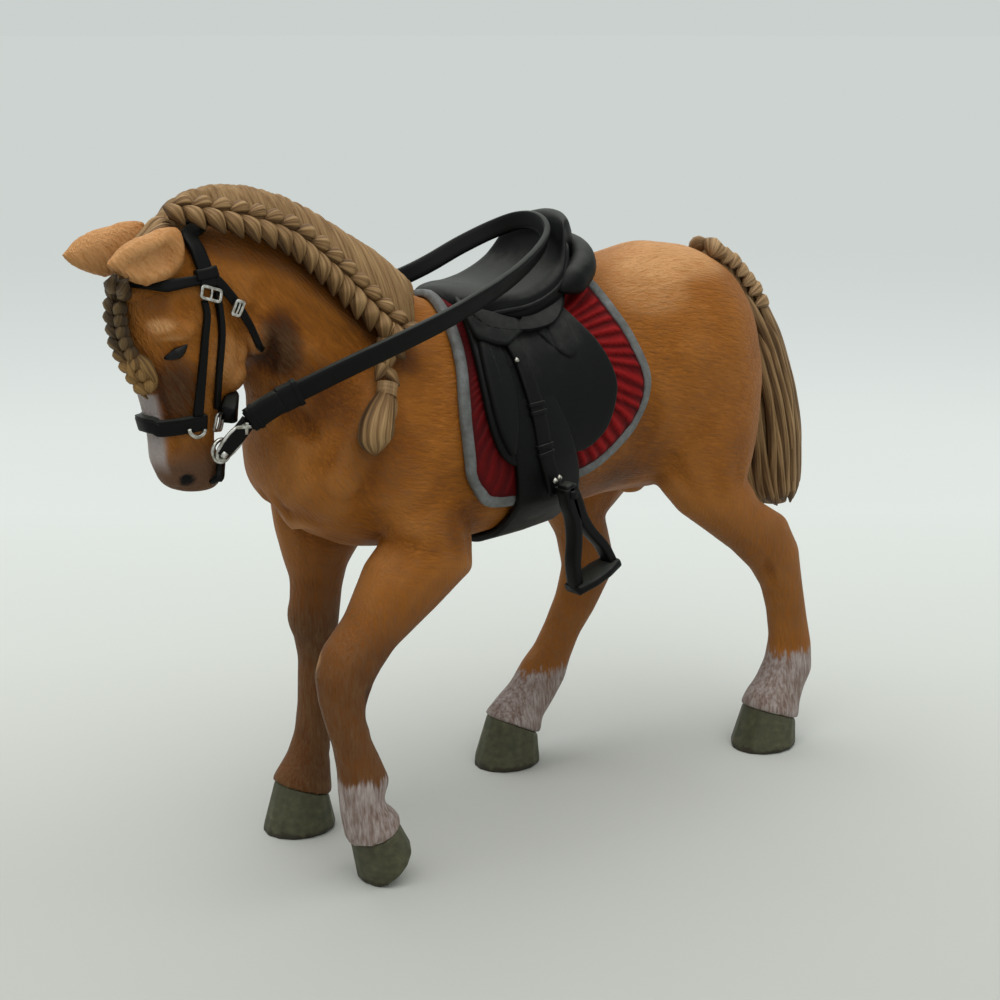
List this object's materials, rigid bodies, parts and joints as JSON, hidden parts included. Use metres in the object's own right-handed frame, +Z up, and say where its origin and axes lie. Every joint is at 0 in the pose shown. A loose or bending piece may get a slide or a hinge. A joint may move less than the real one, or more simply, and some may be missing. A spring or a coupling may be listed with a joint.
{
  "type": "toy horse figure",
  "caption": "Toy horse, walking, with plaited mane and tail, bridle with a lifting rein loop, saddle on a bound pad, and two stirrups that swing on their leathers.",
  "frame": {"origin": "on the ground under the middle of the toy's bounding box", "axes": "+X forward to the nose, +Y to the horse's left, +Z up"},
  "size_m": [0.1326, 0.047, 0.0988],
  "materials": {
    "coat": "satin painted",
    "hair": "matt painted",
    "tail_hair": "matt painted",
    "hoof": "satin painted",
    "tack": "matt, soft moulded",
    "rein": "satin, soft moulded",
    "pad": "matt painted",
    "silver": "silver paint",
    "tie": "matt painted"
  },
  "bodies": {
    "horse": {"body_casting": "coat", "hoof_fore_left": "hoof", "hoof_fore_right": "hoof", "hoof_hind_left": "hoof", "hoof_hind_right": "hoof", "mane_braid": "hair", "mane_tie": "tie", "forelock_braid": "hair", "tail": "tail_hair", "crownpiece": "tack", "browband": "tack", "noseband": "tack", "chin_strap": "tack", "cheekpiece_left": "tack", "cheekpiece_right": "tack", "bit_cheek_left": "tack", "bit_cheek_right": "tack", "throatlash": "tack", "saddle_pad": "pad", "flap_left": "tack", "flap_right": "tack", "saddle_seat": "tack", "girth": "tack", "bit_ring_left": "silver", "bit_ring_right": "silver", "cheek_buckle_left": "silver", "cheek_buckle_right": "silver", "throat_buckle": "silver"},
    "reins": {"rein_strap": "rein", "rein_hook_left": "silver", "rein_hook_right": "silver"},
    "leather_left": {"stirrup_leather_left": "tack"},
    "leather_right": {"stirrup_leather_right": "tack"},
    "iron_left": {"stirrup_iron_left": "tack"},
    "iron_right": {"stirrup_iron_right": "tack"}
  },
  "joints": [
    {"name": "reins_lift", "type": "hinge", "parent": "horse", "child": "reins", "pos_m": [0.05076, 0, 0.0645], "axis": [0, 1, 0], "range_deg": [0, 30]},
    {"name": "leather_swing_left", "type": "hinge", "parent": "horse", "child": "leather_left", "pos_m": [0.00696, 0.0135, 0.0742], "axis": [1, 0, 0], "range_deg": [0, 70]},
    {"name": "leather_swing_right", "type": "hinge", "parent": "horse", "child": "leather_right", "pos_m": [0.00696, -0.0135, 0.0742], "axis": [-1, 0, 0], "range_deg": [0, 70]},
    {"name": "iron_swing_left", "type": "hinge", "parent": "leather_left", "child": "iron_left", "pos_m": [0.00325, 0.02107, 0.05448], "axis": [0, 1, 0], "range_deg": [-60, 30]},
    {"name": "iron_swing_right", "type": "hinge", "parent": "leather_right", "child": "iron_right", "pos_m": [0.00325, -0.02107, 0.05448], "axis": [0, 1, 0], "range_deg": [-60, 30]}
  ]
}
